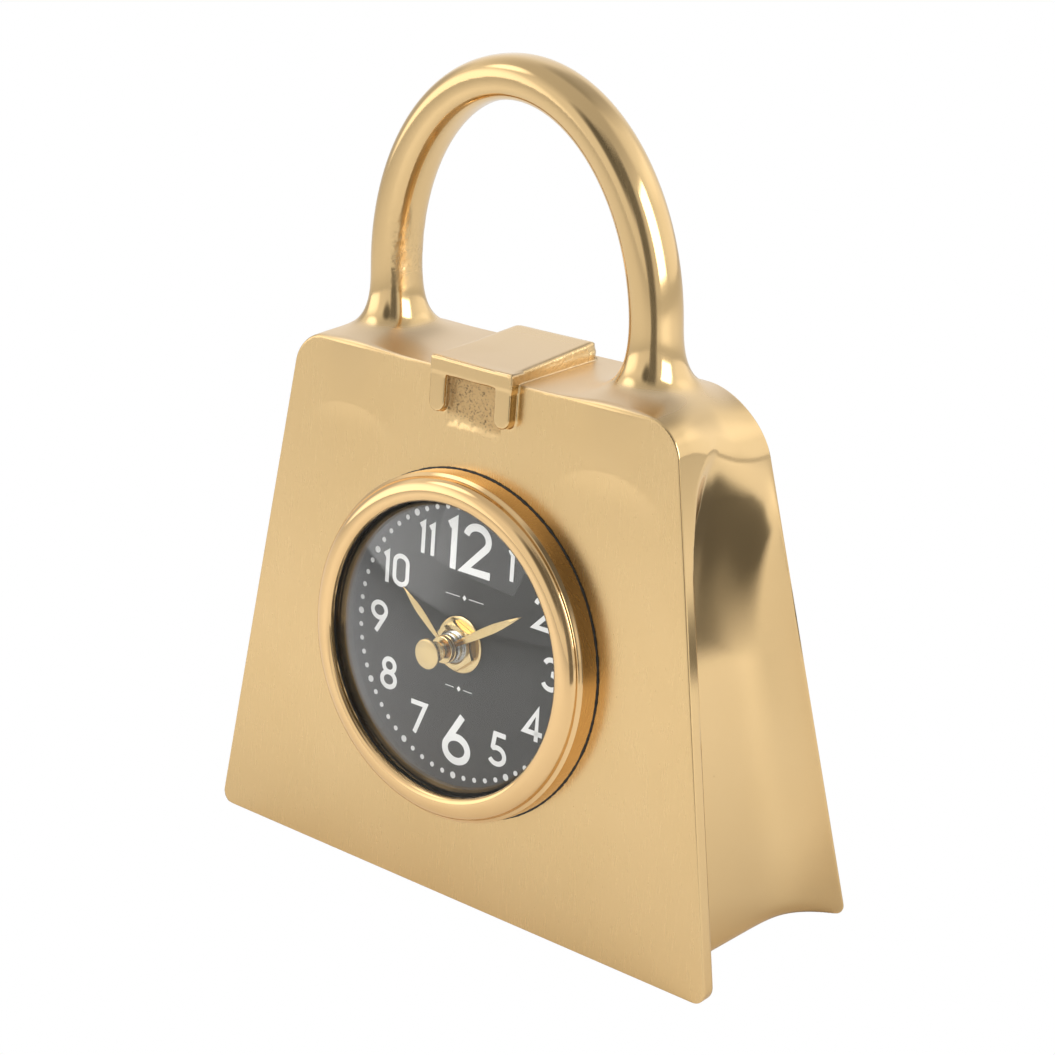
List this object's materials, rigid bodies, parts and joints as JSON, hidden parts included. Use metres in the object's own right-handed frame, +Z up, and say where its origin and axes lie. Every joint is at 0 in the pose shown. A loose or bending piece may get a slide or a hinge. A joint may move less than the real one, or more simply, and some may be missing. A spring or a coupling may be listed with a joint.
{
  "type": "mantel clock",
  "caption": "Brass mantel clock cast in the shape of a handbag with an arched handle; round glazed dial on the leaning front and a quartz movement reached from behind.",
  "frame": {"origin": "under the middle of the base, on the underside of the felt", "axes": "+Z up, +X to the right seen from the front, the dial faces -Y"},
  "size_m": [0.1646, 0.0654, 0.2101],
  "materials": {
    "case_brass": "satin-brushed cast brass, polished at the handle and edges",
    "felt": "dark green felt",
    "bezel_brass": "polished, slightly rosy",
    "black_adhesive": "matte squeezed bead",
    "black_rubber": "matte",
    "clear_glass": "clear, domed",
    "dial_grey": "matte charcoal",
    "hand_brass": "brushed",
    "black_plastic": "moulded, fine texture",
    "cell_wrap": "printed shrink wrap, plain",
    "plated_steel": "nickel plated",
    "white_nylon": "moulded nylon",
    "copper_wire": "enamelled copper winding",
    "circuit_green": "solder resist"
  },
  "bodies": {
    "case": {"case_casting": "case_brass", "case_rear_wall": "case_brass", "handle": "case_brass", "base_felt": "felt", "bezel": "bezel_brass", "bezel_adhesive": "black_adhesive", "glass_gasket": "black_rubber", "glass": "clear_glass", "dial_wall": "dial_grey", "dial": "dial_grey", "dial_washer": "hand_brass", "dial_nut": "hand_brass", "rubber_washer": "black_rubber", "movement_front_plate": "black_plastic", "movement_rear_case": "black_plastic", "contact_plus": "plated_steel", "contact_minus": "plated_steel", "stator": "plated_steel", "coil_bobbin": "white_nylon", "coil_winding": "copper_wire", "circuit_board": "circuit_green", "quartz_crystal": "plated_steel"},
    "minute_set": {"minute_arbor": "plated_steel", "minute_hand": "hand_brass", "hand_cap": "hand_brass"},
    "hour_set": {"hour_wheel": "white_nylon", "hour_hand": "hand_brass"},
    "setting_set": {"minute_wheel": "white_nylon", "setting_knob": "black_plastic"},
    "second_set": {"second_wheel": "white_nylon"},
    "intermediate_set": {"intermediate_wheel": "white_nylon"},
    "rotor_set": {"rotor_pinion": "white_nylon", "rotor_magnet": "plated_steel"},
    "third_set": {"third_wheel": "white_nylon"},
    "centre_set": {"centre_wheel": "white_nylon"},
    "cell": {"battery_cell": "cell_wrap"}
  },
  "joints": [
    {"name": "minute_spin", "type": "hinge", "parent": "case", "child": "minute_set", "pos_m": [0, -0.02164, 0.06687], "axis": [0, 0.9951, -0.0987], "continuous": true},
    {"name": "hour_spin", "type": "hinge", "parent": "case", "child": "hour_set", "pos_m": [0, -0.01667, 0.06638], "axis": [0, 0.9951, -0.0987], "continuous": true},
    {"name": "setting_spin", "type": "hinge", "parent": "case", "child": "setting_set", "pos_m": [-0.0072, -0.01116, 0.07126], "axis": [0, 0.9951, -0.0987], "continuous": true},
    {"name": "second_spin", "type": "hinge", "parent": "case", "child": "second_set", "pos_m": [0.01041, -0.00563, 0.07637], "axis": [0, 0.9951, -0.0987], "continuous": true},
    {"name": "intermediate_spin", "type": "hinge", "parent": "case", "child": "intermediate_set", "pos_m": [0.00482, -0.00421, 0.08047], "axis": [0, 0.9951, -0.0987], "continuous": true},
    {"name": "rotor_spin", "type": "hinge", "parent": "case", "child": "rotor_set", "pos_m": [-0.00057, -0.00296, 0.08299], "axis": [0, 0.9951, -0.0987], "continuous": true},
    {"name": "third_spin", "type": "hinge", "parent": "case", "child": "third_set", "pos_m": [0.0077, -0.00835, 0.06917], "axis": [0, 0.9951, -0.0987], "continuous": true},
    {"name": "centre_spin", "type": "hinge", "parent": "case", "child": "centre_set", "pos_m": [0, -0.0097, 0.06569], "axis": [0, 0.9951, -0.0987], "continuous": true},
    {"name": "cell_slide", "type": "slide", "parent": "case", "child": "cell", "axis": [0, 0.9951, -0.0987], "range_m": [0, 0.045]}
  ],
  "couplings": [
    {"joint": "hour_spin", "follows": "minute_spin", "ratio": 0.083333},
    {"joint": "setting_spin", "follows": "minute_spin", "ratio": -0.33333},
    {"joint": "intermediate_spin", "follows": "rotor_spin", "ratio": -0.2},
    {"joint": "second_spin", "follows": "rotor_spin", "ratio": 0.033333},
    {"joint": "third_spin", "follows": "rotor_spin", "ratio": -0.0041667},
    {"joint": "centre_spin", "follows": "rotor_spin", "ratio": 0.00055556}
  ]
}
